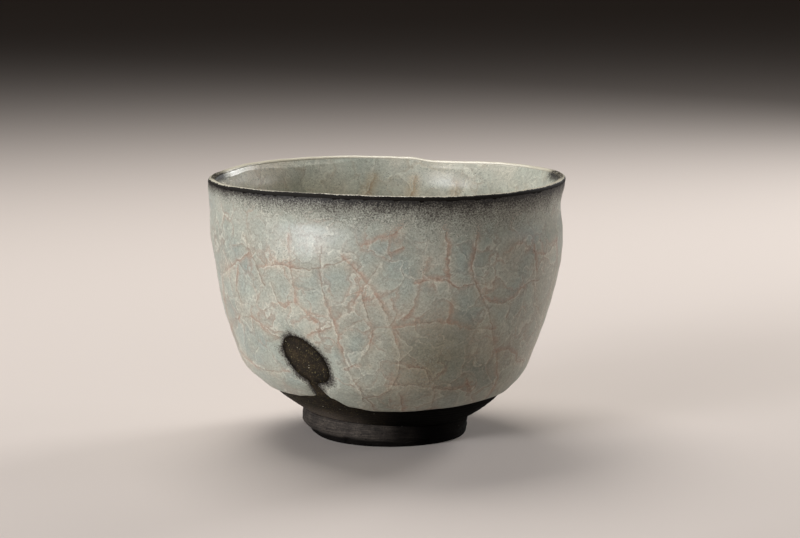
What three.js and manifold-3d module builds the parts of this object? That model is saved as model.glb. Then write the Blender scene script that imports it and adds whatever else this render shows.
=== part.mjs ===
// A wheel-thrown tea bowl of dark stoneware under a thick crackled glaze. Millimetres, +Z up.
// The origin is the middle of the foot ring, on the surface that the bowl stands on.
// Angles are counted from +X towards +Y, so -90 degrees is the side that faces the viewer.
import * as THREE from "three";
import { mergeVertices } from "three/addons/utils/BufferGeometryUtils.js";
import Module from "manifold-3d";

// The outside from the table up: each level's rise above the level below it, and its radius
const footRise = 7.8;
const footRadius = 28.2;
const coneRise = 3.9;
const coneRadius = 34.0;
const turnRise = 9.0;
const turnRadius = 45.0;
const shoulderRise = 3.5;
const shoulderRadius = 47.9;
const flankRise = 6.1;
const flankRadius = 50.5;
const bellyRise = 16.1;
const bellyRadius = 55.7;
const waistRise = 20.6;
const waistRadius = 59.1;
const neckRise = 11.0;
const neckRadius = 58.8;
const lipRise = 7.8;
const lipRadius = 60.1;
const lipRound = 1.2;

// The foot ring: a flat land on the table between two eased edges, around the foot well
const landRadius = 25.4;
const landWidth = 4.5;
const heelRise = 3.2;
const heelEase = 1.6;
const wellEase = 1.0;
const wellDome = 1.0;

// The clay's thickness, and how far the floor inside lies above the foot ring
const floorThickness = 6.0;
const floorSweep = 0.4;
const coneWall = 6.0;
const bellyWall = 3.8;
const lipWall = 2.4;

// The glaze: its thickness on the wall, at the lip and inside, and the fat roll at its lower edge
const wallGlaze = 1.1;
const lipGlaze = 0.3;
const insideGlaze = 0.8;
const rollProud = 0.8;
const rollEdge = 1.8;
const rollFade = 9.0;
const lipFade = 10.0;
const glazeStart = 9.0;
const glazeFull = 20.0;

// The hand-made wander: [height, sideways lean], [angle, rise of the lip], and the foot's tilt
const leanByHeight = [[0, 1.0], [4, -1.1], [12, 0], [20, 0.5], [26, -0.6], [46, -0.3], [60, 0.2], [78, -0.9], [88, 0]];
const lipByAngle = [
  [-160, 0.3], [-110, 0.8], [-60, -0.2], [0, 0.5], [40, 0.1],
  [72, -0.8], [84, 0.4], [110, 0.9], [145, 0.1], [180, -0.3],
];
const footTilt = 1.6;

// The glaze's lower edge: [angle, distance up the wall from the foot ring]
const glazeEdgeByAngle = [
  [-150, 15.2], [-134, 16.8], [-126, 19.6], [-119.5, 22.6], [-114.5, 17.9],
  [-107.5, 13.2], [-96, 11.5], [-84, 11.6], [-64, 12.7], [-32, 14.2],
  [10, 13.4], [60, 12.2], [110, 13.8], [150, 12.0], [180, 13.2],
];

// The bare oval that a finger left in the glaze, and the bare neck from it to the edge below
const markAngle = -121.2;
const markDistance = 35.7;
const markLength = 19.8;
const markWidth = 12.8;
const markTilt = 41;
const neckWidth = 3.4;
const neckShift = 1.3;
const neckLength = 14.8;
const cutterClearance = 2.5;

// How finely the surfaces are drawn
const columns = 60;
const wallRows = 9;
const insideRows = 15;
const lipRows = 4;
const curveSamples = 40;

const degree = Math.PI / 180;

function smooth(x) {
  return THREE.MathUtils.smoothstep(x, 0, 1);
}

// The value at x of a list of [x, value] pairs, straight between them and level past its ends
function between(pairs, x) {
  const after = pairs.findIndex(([at]) => at >= x);
  if (after <= 0) return (after ? pairs.at(-1) : pairs[0])[1];
  const [x0, y0] = pairs[after - 1];
  const [x1, y1] = pairs[after];
  return y0 + ((y1 - y0) * (x - x0)) / (x1 - x0);
}

// The same round the bowl, eased from pair to pair, for angles in radians
function aroundBowl(pairs, angle) {
  const [lastAngle, lastValue] = pairs.at(-1);
  const turned = THREE.MathUtils.euclideanModulo(angle / degree - lastAngle, 360) + lastAngle - 360;
  const ring = [[lastAngle - 360, lastValue], ...pairs];
  const after = Math.max(1, ring.findIndex(([at]) => at >= turned));
  const [a0, v0] = ring[after - 1];
  const [a1, v1] = ring[after];
  return v0 + (v1 - v0) * smooth((turned - a0) / (a1 - a0));
}

// The outline of the outside as [radius, height] levels on one smooth curve
const rises = [footRise, coneRise, turnRise, shoulderRise, flankRise, bellyRise, waistRise, neckRise, lipRise];
const radii = [
  footRadius, coneRadius, turnRadius, shoulderRadius, flankRadius,
  bellyRadius, waistRadius, neckRadius, lipRadius,
];
const heights = rises.map((_, level) => rises.slice(0, level + 1).reduce((sum, rise) => sum + rise));
const [footHeight, , , shoulderHeight, , bellyHeight] = heights;
const lipHeight = heights.at(-1);

function curveThrough(points) {
  const corners = points.map(([radius, height]) => new THREE.Vector3(radius, 0, height));
  return new THREE.CatmullRomCurve3(corners, false, "centripetal");
}

const outside = curveThrough(radii.map((radius, level) => [radius, heights[level]]));
const outsideLength = outside.getLength();
const samples = outside.getLengths((radii.length - 1) * curveSamples);
const distances = radii.map((_, level) => samples[level * curveSamples]);
const [, coneDistance, , , , bellyDistance] = distances;

// A point of a curve at a share of its length, pushed off it to the left, which is into the bowl
function offCurve(curve, share, push) {
  const clamped = THREE.MathUtils.clamp(share, 0, 1);
  const point = curve.getPointAt(clamped);
  const along = curve.getTangentAt(clamped);
  return [point.x - along.z * push, point.z + along.x * push];
}

// How deep the clay lies under the bowl's outside, where the glaze makes up the difference
function coatAt(distance) {
  const grown = wallGlaze * smooth((distance - glazeStart) / (glazeFull - glazeStart));
  const thinned = (wallGlaze - lipGlaze) * smooth((distance - outsideLength + lipFade) / lipFade);
  return grown - thinned;
}

function wallAt(distance) {
  return between([[coneDistance, coneWall], [bellyDistance, bellyWall], [outsideLength, lipWall]], distance);
}

// The glaze's face against the outside: rounded up from its lower edge into a roll, then level
function rollAt(distance, fromEdge) {
  const coat = coatAt(distance);
  const roll = rollProud * (1 - smooth(fromEdge / rollFade));
  const rounded = Math.sqrt(1 - (1 - Math.min(fromEdge / rollEdge, 1)) ** 2);
  return (coat + roll) * rounded - coat;
}

// The inside of the clay, set off from the outside by the wall, and the floor it runs down to
const insideWall = distances.slice(1).map((distance) => {
  return offCurve(outside, distance / outsideLength, coatAt(distance) + wallAt(distance));
});
const floorHeight = footHeight + floorThickness;
const inside = curveThrough([
  [0, floorHeight],
  [insideWall[0][0] / 2, floorHeight + floorSweep],
  ...insideWall,
]);

// A point of the turned shape, moved by the lean, the lip's waves and the foot's tilt. All are
// nothing at the table, where the foot stands flat, or only sideways, and on the axis.
function handShaped([radius, height], angle) {
  const side = Math.cos(angle);
  const fullness = Math.min(radius / footRadius, 1);
  const leaned = radius + between(leanByHeight, height) * side * fullness;
  const lipShare = smooth((height - bellyHeight) / (lipHeight - bellyHeight));
  const fade = 1 - smooth((height - footHeight) / (shoulderHeight - footHeight));
  const footShare = height < footHeight ? height / footHeight : fade;
  const lifted = aroundBowl(lipByAngle, angle) * lipShare - footTilt * side * footShare * fullness;
  return new THREE.Vector3(leaned * side, leaned * Math.sin(angle), height + lifted);
}

// A row of points round the bowl. The place is one [radius, height], or a function of the angle.
function row(place) {
  return Array.from({ length: columns }, (_, column) => {
    const angle = (column / columns) * 2 * Math.PI;
    return handShaped(typeof place === "function" ? place(angle) : place, angle);
  });
}

function pole(height) {
  return [new THREE.Vector3(0, 0, height)];
}

// The triangles between rows, listed so that the outside is to the right of the way they run.
// A sheet that runs down takes the other diagonal, so that it matches one that runs up.
function sheet(rows, runsDown = false) {
  const corners = [];
  rows.slice(1).forEach((to, index) => {
    const from = rows[index];
    for (let column = 0; column < columns; column++) {
      const next = (column + 1) % columns;
      const [a, b, c, d] = [from[column], from[next], to[next], to[column]];
      if (from.length === 1) corners.push(from[0], c, d);
      else if (to.length === 1) corners.push(a, b, to[0]);
      else if (runsDown) corners.push(a, b, d, b, c, d);
      else corners.push(a, b, c, a, c, d);
    }
  });
  return corners;
}

function geometryOf(corners) {
  const geometry = new THREE.BufferGeometry().setFromPoints(corners);
  geometry.computeVertexNormals();
  return geometry;
}

// The rows that two pieces share, each written once
const wellRadius = landRadius - landWidth - wellEase;
const ringTopInner = row([wellRadius, footHeight]);
const ringTopOuter = row([footRadius, footHeight]);

function edgeAt(angle) {
  return aroundBowl(glazeEdgeByAngle, angle);
}

// Distances up the wall above the glaze's edge: close together on the roll, then even to the lip
const rollSteps = [0.18 * rollEdge, 0.55 * rollEdge, 1.3 * rollEdge, 0.6 * rollFade];
function wallDistances(angle) {
  const start = edgeAt(angle) + rollFade;
  const even = Array.from({ length: wallRows }, (_, step) => {
    return start + ((outsideLength - lipRound - start) * step) / (wallRows - 1);
  });
  return [edgeAt(angle), ...rollSteps.map((step) => edgeAt(angle) + step), ...even, outsideLength];
}

const wallCount = rollSteps.length + wallRows + 2;
const clayWall = Array.from({ length: wallCount }, (_, index) => {
  return row((angle) => {
    const distance = wallDistances(angle)[index];
    return offCurve(outside, distance / outsideLength, coatAt(distance));
  });
});
const clayInside = Array.from({ length: insideRows - 1 }, (_, step) => {
  return row(offCurve(inside, (step + 1) / (insideRows - 1), 0));
});

function clayBowl() {
  const underside = [pole(footHeight + wellDome), row([wellRadius / 2, footHeight + 0.75 * wellDome]), ringTopInner];
  const bare = [0.35, 0.7].map((share) => {
    return row((angle) => {
      const distance = share * edgeAt(angle);
      return offCurve(outside, distance / outsideLength, coatAt(distance));
    });
  });
  const [outer, inner] = [offCurve(outside, 1, lipGlaze), offCurve(inside, 1, 0)];
  const crest = Array.from({ length: lipRows }, (_, step) => {
    const turn = ((step + 1) / (lipRows + 1)) * Math.PI;
    const across = (1 - Math.cos(turn)) / 2;
    const radius = outer[0] + (inner[0] - outer[0]) * across;
    return row([radius, outer[1] + (inner[1] - outer[1]) * across + lipRound * Math.sin(turn)]);
  });
  const up = sheet([...underside, ringTopOuter, ...bare, ...clayWall, ...crest, clayInside.at(-1)]);
  const down = sheet([...clayInside.toReversed(), pole(floorHeight)], true);
  return geometryOf([...up, ...down]);
}

function footRing() {
  const profile = [
    [landRadius - landWidth, 0],
    [landRadius, 0],
    [landRadius + heelEase * 0.75, heelRise * 0.3],
    [landRadius + heelEase, heelRise * 0.65],
    [footRadius - 0.2, heelRise],
  ];
  const up = sheet([...profile.map((place) => row(place)), ringTopOuter]);
  const across = sheet([ringTopOuter, ringTopInner], true);
  const back = sheet([ringTopInner, row([wellRadius, wellEase]), row(profile[0])], true);
  return geometryOf([...up, ...across, ...back]);
}

function innerGlaze() {
  const face = Array.from({ length: insideRows - 2 }, (_, step) => {
    return row(offCurve(inside, (step + 1) / (insideRows - 1), insideGlaze));
  });
  const back = sheet([pole(floorHeight), ...clayInside]);
  const top = row(offCurve(inside, 1 - lipRound / inside.getLength(), insideGlaze));
  const front = sheet([clayInside.at(-1), top, ...face.toReversed(), pole(floorHeight + insideGlaze)], true);
  return geometryOf([...back, ...front]);
}

// An outline drawn on the glaze at the finger mark, made thick enough to cut through it. It
// reaches past the furthest that the wall bends away from the mark's own flat, either way.
function markCutter(shape) {
  const share = markDistance / outsideLength;
  const turned = markAngle * degree;
  const along = outside.getTangentAt(share);
  const right = new THREE.Vector3(-Math.sin(turned), Math.cos(turned), 0);
  const up = new THREE.Vector3(along.x * Math.cos(turned), along.x * Math.sin(turned), along.z);
  const out = new THREE.Vector3().crossVectors(right, up);
  const centre = handShaped(offCurve(outside, share, 0), turned);
  const place = new THREE.Matrix4().makeBasis(right, up, out).setPosition(centre);
  const [low, high] = [markDistance - neckLength - neckWidth, markDistance + markLength / 2];
  const bends = Array.from({ length: curveSamples }, (_, step) => {
    const distance = low + ((high - low) * step) / (curveSamples - 1);
    return handShaped(offCurve(outside, distance / outsideLength, 0), turned).sub(centre).dot(out);
  });
  const deepest = Math.min(...bends) - wallGlaze - cutterClearance;
  const depth = Math.max(...bends) + rollProud + cutterClearance - deepest;
  const geometry = new THREE.ExtrudeGeometry(shape, { depth, bevelEnabled: false, curveSegments: 14 });
  return geometry.translate(0, 0, deepest).applyMatrix4(place);
}

const wasm = await Module();
wasm.setup();

function manifoldOf(geometry) {
  const bare = geometry.clone();
  bare.deleteAttribute("normal");
  bare.deleteAttribute("uv");
  const merged = mergeVertices(bare);
  const mesh = new wasm.Mesh({
    numProp: 3,
    vertProperties: merged.attributes.position.array,
    triVerts: new Uint32Array(merged.index.array),
  });
  return new wasm.Manifold(mesh);
}

function geometryOfManifold(solid) {
  const mesh = solid.getMesh();
  const geometry = new THREE.BufferGeometry();
  geometry.setAttribute("position", new THREE.BufferAttribute(mesh.vertProperties, 3));
  geometry.setIndex(new THREE.BufferAttribute(mesh.triVerts, 1));
  geometry.computeVertexNormals();
  return geometry;
}

function outerGlaze() {
  const face = Array.from({ length: wallCount - 2 }, (_, index) => {
    return row((angle) => {
      const distance = wallDistances(angle)[index + 1];
      return offCurve(outside, distance / outsideLength, -rollAt(distance, distance - edgeAt(angle)));
    });
  });
  const front = sheet([clayWall[0], ...face, clayWall.at(-1)]);
  const back = sheet(clayWall.toReversed(), true);
  const whole = manifoldOf(geometryOf([...front, ...back]));

  const oval = new THREE.Shape();
  oval.absellipse(0, 0, markWidth / 2, markLength / 2, 0, 2 * Math.PI, false, markTilt * degree);
  const neck = new THREE.Shape([
    new THREE.Vector2(neckShift - neckWidth / 2, 0),
    new THREE.Vector2(neckShift - neckWidth / 2, -neckLength),
    new THREE.Vector2(neckShift + neckWidth / 2, -neckLength),
    new THREE.Vector2(neckShift + neckWidth / 2, 0),
  ]);
  const cut = [oval, neck].reduce((solid, shape) => solid.subtract(manifoldOf(markCutter(shape))), whole);
  return geometryOfManifold(cut);
}

function finish(color, roughness) {
  return new THREE.MeshStandardMaterial({ color, roughness, metalness: 0 });
}

function piece(name, geometry, material) {
  const mesh = new THREE.Mesh(geometry, material);
  mesh.name = name;
  return mesh;
}

const bowl = new THREE.Group();
bowl.add(piece("clay_bowl", clayBowl(), finish(0x33271f, 0.7)));
bowl.add(piece("foot_ring", footRing(), finish(0x51463c, 0.85)));
bowl.add(piece("outer_glaze", outerGlaze(), finish(0xa9aea2, 0.3)));
bowl.add(piece("inner_glaze", innerGlaze(), finish(0x8f8f7c, 0.3)));
export default bowl;
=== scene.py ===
# A tea bowl of dark stoneware under a thick crackled glaze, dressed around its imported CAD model.
# Sizes are millimetres until a mesh is made. Angles are degrees from +X towards +Y, so -90 is the
# side that faces the camera.
import functools
import math

import bpy
import numpy as np
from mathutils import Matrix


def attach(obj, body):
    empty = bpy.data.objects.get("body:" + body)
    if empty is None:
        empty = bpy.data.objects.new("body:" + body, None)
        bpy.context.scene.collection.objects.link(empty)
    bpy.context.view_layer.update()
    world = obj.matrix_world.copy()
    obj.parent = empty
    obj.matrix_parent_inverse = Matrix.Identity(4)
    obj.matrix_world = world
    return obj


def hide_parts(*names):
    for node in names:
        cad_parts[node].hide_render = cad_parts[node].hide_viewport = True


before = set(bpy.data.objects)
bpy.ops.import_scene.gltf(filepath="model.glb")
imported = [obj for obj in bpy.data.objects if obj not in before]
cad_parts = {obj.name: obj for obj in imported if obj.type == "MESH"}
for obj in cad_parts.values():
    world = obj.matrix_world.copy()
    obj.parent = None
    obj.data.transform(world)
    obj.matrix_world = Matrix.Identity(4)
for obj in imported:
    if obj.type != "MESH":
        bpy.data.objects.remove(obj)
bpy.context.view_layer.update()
print("frame: loaded the packed bowl")

metresPerMillimetre = 0.001


def smooth(share):
    # Eased step: 3x squared less 2x cubed from 0 to 1, level outside
    share = np.clip(share, 0, 1)
    return share * share * (3 - 2 * share)


def softLeast(first, second, blend):
    # The lesser of two distances, with the corner between them rounded over the blend width
    nearness = np.clip(1 - np.abs(first - second) / blend, 0, 1)
    return np.minimum(first, second) - nearness * nearness * blend / 4


def chance(cells, seed):
    # A steady random share for every whole-number cell of space: its three numbers are mixed
    mixed = cells[..., 0] * 73856093 ^ cells[..., 1] * 19349663 ^ cells[..., 2] * 83492791
    mixed = (mixed ^ seed * 1013904223) & 0xFFFFFFFF
    mixed = ((mixed ^ mixed >> 15) * 739982445) & 0xFFFFFFFF
    mixed = ((mixed ^ mixed >> 12) * 695872825) & 0xFFFFFFFF
    return ((mixed ^ mixed >> 15) & 0xFFFF) / 0xFFFF


def bumps(points, size, seed):
    # Gentle random heights from -1 to 1: chances at the corners of cubes of this size, eased between
    scaled = points / size
    cell = np.floor(scaled).astype(np.int64)
    share = smooth(scaled - cell)
    total = 0
    for corner in np.ndindex(2, 2, 2):
        weight = np.prod(np.where(np.array(corner) == 1, share, 1 - share), axis=-1)
        total = total + weight * chance(cell + np.array(corner), seed)
    return 2 * total - 1


# The outline that was thrown on the wheel, level by level from the table up, and the walls
thrown = {
    "rises": [7.8, 3.9, 9.0, 3.5, 6.1, 16.1, 20.6, 11.0, 7.8],
    "radii": [28.2, 34.0, 45.0, 47.9, 50.5, 55.7, 59.1, 58.8, 60.1],
    "walls": [6.0, 3.8, 2.4],
    "floorThickness": 6.0, "floorSweep": 0.4,
    "footTilt": 1.6,
    "leanHeights": [0, 4, 12, 20, 26, 46, 60, 78, 88],
    "leans": [1.0, -1.1, 0, 0.5, -0.6, -0.3, 0.2, -0.9, -0.04],
    "lipLifts": {-160: 0.3, -110: 0.8, -60: -0.2, 0: 0.5, 40: 0.1, 72: -0.8, 84: 0.4, 110: 1.0, 128: 1.0,
                 146: 0.75, 162: 0.0, 180: 0.0},
    "ridgePitch": 6.6, "ridgeDepth": 0.045, "ridgeWander": 0.35, "ridgeWanderSize": 24,
    "dentSize": 19, "dentDepth": 0.11, "dimpleSize": 6, "dimpleDepth": 0.03,
    "swellFrom": 20, "swellFade": 16, "swellLipFade": 9,
    "thumbAngle": -116, "thumbSpread": 26, "thumbReach": 8.5,
    "thumbHeights": [64.0, 81.0], "thumbDepths": [0.35, -1.1],
}


def traceCurve(corners, steps=240):
    # A centripetal Catmull-Rom curve: each span is a cubic whose end slopes follow the corners
    # beside it, weighed by the square roots of the chords. Returns it as evenly sampled rows.
    corners = np.array(corners, float)
    padded = np.vstack([2 * corners[0] - corners[1], corners, 2 * corners[-1] - corners[-2]])
    spans = len(corners) - 1
    place = np.linspace(0, spans, spans * steps + 1)
    span = np.minimum(place.astype(int), spans - 1)
    share = (place - span)[:, None]
    before, start, end, after = (padded[span + offset] for offset in range(4))
    root1, root2, root3 = (
        np.sqrt(np.linalg.norm(b - a, axis=1))[:, None]
        for a, b in ((before, start), (start, end), (end, after))
    )
    leaving = (start - before) * root2 / root1 - (end - before) * root2 / (root1 + root2) + (end - start)
    arriving = (end - start) - (after - start) * root2 / (root2 + root3) + (after - end) * root2 / root3
    rise = end - start
    points = start + leaving * share + (3 * rise - 2 * leaving - arriving) * share ** 2
    points = points + (leaving + arriving - 2 * rise) * share ** 3
    chords = np.linalg.norm(np.diff(points, axis=0), axis=1)
    distance = np.concatenate([[0], np.cumsum(chords)])
    heading = np.gradient(points, distance, axis=0)
    heading = heading / np.linalg.norm(heading, axis=1)[:, None]
    return {"distance": distance, "points": points, "heading": heading, "length": distance[-1],
            "corners": distance[::steps]}


def offCurve(curve, distance, push):
    # The radius and height at a distance along a curve, pushed off it to the left: into the bowl
    radius, height = (np.interp(distance, curve["distance"], curve["points"][:, axis]) for axis in (0, 1))
    outward, upward = (np.interp(distance, curve["distance"], curve["heading"][:, axis]) for axis in (0, 1))
    return radius - upward * push, height + outward * push


levels = np.cumsum(thrown["rises"])
outside = traceCurve(list(zip(thrown["radii"], levels)))
footHeight, shoulderHeight, bellyHeight, lipHeight = levels[[0, 3, 5, 8]]
footRadius = thrown["radii"][0]
wallLength = outside["length"]

# The glaze on the wall: its thickness, the fat roll at its lower edge, and where that edge runs
coat = {
    "wall": 1.1, "lip": 0.3, "inside": 0.8,
    "start": 9.0, "full": 20.0, "lipFade": 10.0,
    "rollProud": 0.3, "rollEdge": 1.8, "rollFade": 8.0,
    "edges": {-150: 15.8, -134: 16.5, -127: 17.7, -122.3: 17.5, -119.3: 21.5, -114.5: 17.9, -107.5: 13.2,
              -96: 11.5, -84: 11.6, -64: 12.7, -32: 14.2, 10: 13.4, 60: 12.2, 110: 13.8, 150: 12, 180: 13.2},
    "seat": 0.1, "bed": 0.3,
}

# The hollow's facet just inside the lip, cut back where a thumb ran round it, by angle
facet = {
    "reaches": {-165: 0.4, 96: 0.4, 113: 2.0, 128: 2.4, 142: 1.6, 150: 1.4, 158: 1.6, 165: 1.3, 172: 0.7},
    "slope": 0.36,
}


def aroundBowl(table, angle):
    # A table's value for any angle, eased from each listed angle to the next and round the back
    angles, values = list(table), list(table.values())
    ring = np.array([angles[-1] - 360] + angles)
    ringValues = np.array([values[-1]] + values)
    turned = np.mod(angle - ring[0], 360) + ring[0]
    after = np.clip(np.searchsorted(ring, turned, side="left"), 1, len(ring) - 1)
    share = smooth((turned - ring[after - 1]) / (ring[after] - ring[after - 1]))
    return ringValues[after - 1] + (ringValues[after] - ringValues[after - 1]) * share


def coatAt(distance):
    # The glaze grows in thickness above the cone and thins again towards the lip
    grown = coat["wall"] * smooth((distance - coat["start"]) / (coat["full"] - coat["start"]))
    nearLip = smooth((distance - wallLength) / coat["lipFade"] + 1)
    return grown - (coat["wall"] - coat["lip"]) * nearLip


def wallAt(distance):
    corners = outside["corners"]
    return np.interp(distance, [corners[1], corners[5], wallLength], thrown["walls"])


def edgeAt(angle):
    return aroundBowl(coat["edges"], angle)


def facetAt(fromLip, angle):
    # How far the hollow's face is cut back at a distance below the inner lip: a flat slope
    reach = aroundBowl(facet["reaches"], angle)
    return facet["slope"] * np.maximum(reach - fromLip, 0)


# The inside of the clay is set off from the outside by the wall, and runs down to the floor
wallCorners = outside["corners"][1:]
wallRadii, wallHeights = offCurve(outside, wallCorners, coatAt(wallCorners) + wallAt(wallCorners))
floorHeight = footHeight + thrown["floorThickness"]
inside = traceCurve([
    (0, floorHeight),
    (wallRadii[0] / 2, floorHeight + thrown["floorSweep"]),
    *zip(wallRadii, wallHeights),
])


def handShaped(radius, height, angle):
    # A turned point moved by the lean, the lip's waves and the foot's tilt. None of them lifts the
    # table level, and all are nothing on the axis.
    radius, height, angle = np.broadcast_arrays(radius, height, angle)
    turn = np.radians(angle)
    side = np.cos(turn)
    fullness = np.minimum(radius / footRadius, 1)
    leaned = radius + np.interp(height, thrown["leanHeights"], thrown["leans"]) * side * fullness
    lipShare = smooth((height - bellyHeight) / (lipHeight - bellyHeight))
    fade = 1 - smooth((height - footHeight) / (shoulderHeight - footHeight))
    footShare = np.where(height < footHeight, height / footHeight, fade)
    lifted = aroundBowl(thrown["lipLifts"], angle) * lipShare
    lifted = lifted - thrown["footTilt"] * side * footShare * fullness
    return np.stack([leaned * side, leaned * np.sin(turn), height + lifted], axis=-1)


def pointOn(curve, distance, push, angle):
    # A point of the bowl as made by hand: at a distance along a curve, pushed off it into the bowl
    return handShaped(*offCurve(curve, distance, push), angle)


def aside(angle, middle):
    # Degrees from a middle angle, the shorter way round
    return np.mod(angle - middle + 180, 360) - 180


def swell(distance, angle):
    # How far the hand-thrown wall stands proud of its even outline: a spiral of soft throwing
    # ridges, slow dents, and one long thumb press below the lip, shaped as bells. All fade out at
    # the foot and lip.
    points = pointOn(outside, distance, 0, angle)
    wander = thrown["ridgeWander"] * bumps(points, thrown["ridgeWanderSize"], 3)
    turns = distance / thrown["ridgePitch"] + angle / 360 + wander
    ridges = thrown["ridgeDepth"] * np.sin(2 * math.pi * turns)
    dents = thrown["dentDepth"] * bumps(points, thrown["dentSize"], 5)
    dents = dents + thrown["dimpleDepth"] * bumps(points, thrown["dimpleSize"], 6)
    press = sum(
        depth * np.exp(-((points[..., 2] - level) / thrown["thumbReach"]) ** 2)
        for level, depth in zip(thrown["thumbHeights"], thrown["thumbDepths"])
    )
    press = press * np.exp(-(aside(angle, thrown["thumbAngle"]) / thrown["thumbSpread"]) ** 2)
    ends = smooth((distance - thrown["swellFrom"]) / thrown["swellFade"])
    ends = ends * smooth((wallLength - distance) / thrown["swellLipFade"])
    return (ridges + dents + press) * ends


# The bare oval where a finger held the bowl in the glaze, and the bare neck down to the edge
mark = {
    "angle": -121.2, "distance": 34.5, "length": 18.8, "width": 12.6, "tilt": 41,
    "neckShift": 0.8, "neckWidth": 2.1, "neckTop": -6.0, "neckFoot": -16.0,
    "corner": 1.7, "lobeCorner": 3.4,
    "fringe": 2.9, "runFringe": 5.6, "runPlace": [7.8, -7.6], "runReach": 4.6,
    "streaks": 5, "streakDepth": 0.35, "streakLength": 5,
    "rayCircle": 6.0, "rayReach": 5.0,
}


def acrossMark(angle, distance):
    # Millimetres to the right of the mark's middle and up the wall from it
    radius = offCurve(outside, distance, 0)[0]
    return np.radians(angle - mark["angle"]) * radius, distance - mark["distance"]


def bareness(angle, distance):
    # The distance in millimetres to the finger mark or its neck, less than 0 on them. The oval's
    # is its implicit curve over its slope, and the neck is a band with round ends.
    across, up = acrossMark(angle, distance)
    tilt = math.radians(mark["tilt"])
    long = (up * math.cos(tilt) - across * math.sin(tilt)) / (mark["length"] / 2)
    short = (across * math.cos(tilt) + up * math.sin(tilt)) / (mark["width"] / 2)
    size = np.hypot(long, short)
    slope = np.hypot(long / (mark["length"] / 2), short / (mark["width"] / 2))
    oval = size * (size - 1) / np.maximum(slope, 0.001)
    past = np.maximum(np.maximum(up - mark["neckTop"], mark["neckFoot"] - up), 0)
    neck = np.hypot(across - mark["neckShift"], past) - mark["neckWidth"] / 2
    return softLeast(oval, neck, mark["corner"])


def glazeEdge(angle, distance):
    # The distance to the nearest bare clay: the lower edge, the finger mark or its neck
    return softLeast(distance - edgeAt(angle), bareness(angle, distance), mark["lobeCorner"])


# The long cracks that opened first, as the glaze cooled: corners of each as (angle, distance up the
# wall). Those that rise and those that run level are apart, since they cross. The back has the
# same ones upside down and spread wider.
cracks = {
    "rising": [
        [(-110.2, 73), (-110.5, 62), (-109.4, 55.5), (-107.3, 49), (-105.8, 41), (-103.2, 31), (-99, 22),
         (-94.5, 10)],
        [(-103, 70.5), (-96, 63.2), (-92.2, 57), (-89, 51), (-86.8, 44), (-85.2, 35.5), (-87, 28.5),
         (-91.5, 23.2), (-98.8, 20.8)],
        [(-77.3, 70), (-78.8, 65.5), (-80.4, 60), (-82.2, 54), (-86, 50.3)],
        [(-97.6, 59), (-96.3, 52.5), (-94.8, 47.5), (-95.5, 42), (-98.5, 37.5)],
        [(-122, 76), (-120.8, 66), (-120.6, 60), (-120.2, 56)],
        [(-139.5, 74), (-137, 69.5), (-134.8, 66), (-133, 61)],
        [(-72.5, 82), (-71.2, 76), (-71, 70), (-70.2, 63), (-69, 57), (-69.6, 50.5)],
        [(-60.5, 81), (-61.5, 74), (-63, 68.5), (-61.2, 62), (-58, 57), (-55, 52.5), (-51.5, 45),
         (-49.5, 40.5), (-46.8, 35.8), (-43.8, 30.5), (-41, 24.5), (-39.5, 18)],
        [(-71.5, 25), (-70, 19.5), (-68.6, 11)],
        [(-57.5, 27), (-54, 22.8), (-50.5, 18.8), (-47, 15)],
        [(-84.5, 21.5), (-83, 16), (-82, 10)],
        [(-36, 71), (-34, 62), (-31.5, 55), (-28, 50), (-22, 46)],
        [(-145.5, 64), (-148.5, 57), (-147, 52), (-150.5, 46)],
        [(-19, 70), (-16, 58), (-19, 48), (-15, 38), (-11, 28)],
        [(-160, 62), (-163, 52), (-166, 42), (-164, 30), (-169, 20)],
    ],
    "level": [
        [(-107.6, 49.6), (-103, 53.5), (-100, 57), (-98, 60.2), (-95.8, 63.6), (-93.4, 67.6), (-91, 71.5),
         (-86, 74)],
        [(-107.2, 48.6), (-111, 47), (-115, 45.6), (-118.6, 43.2)],
        [(-133, 66), (-126, 67.2), (-120, 67), (-114, 66.6), (-108, 68.2), (-102, 70.6)],
        [(-129, 60), (-127.6, 55.4), (-125, 53.6), (-120.3, 55.8), (-117.6, 53), (-114.5, 50)],
        [(-160, 60), (-151, 63.5), (-145, 66.2), (-139, 69.4)],
        [(-168, 39), (-158, 44), (-151, 46.6), (-145, 48), (-139, 47), (-134, 44), (-130.4, 42.4)],
        [(-162, 31.5), (-150, 29.2), (-141, 28.8), (-131, 29.8)],
        [(-96.5, 75), (-91.5, 77.2), (-87, 79), (-84, 83)],
        [(-80.2, 63.2), (-76, 64.3), (-71, 63.4), (-66.5, 61.3), (-62, 62), (-55, 61)],
        [(-86.6, 48.4), (-80, 49.6), (-73, 49.8), (-67, 48.8), (-62.5, 47), (-57, 46.4), (-51.6, 45.4)],
        [(-47.4, 36.8), (-42, 37), (-36, 35), (-28, 30), (-16, 33)],
        [(-88, 27.4), (-81, 27.2), (-75, 26.4), (-69.5, 25), (-62, 24), (-56.5, 26)],
        [(-104.2, 33.4), (-101.4, 34.4), (-97.5, 34.6)],
        [(-85.4, 35), (-80, 33.6), (-76, 32.6), (-73.5, 27.5)],
        [(-104.5, 46.6), (-101.5, 49.4), (-97, 51)],
        [(-56.5, 57), (-50, 54.5), (-44, 56), (-38, 60), (-33, 59.5)],
        [(-50, 70.5), (-44, 73.5), (-38, 71), (-30, 68), (-19, 71)],
    ],
    "backSpread": 1.25, "backTop": 92.0, "reach": 6.0,
}


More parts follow.
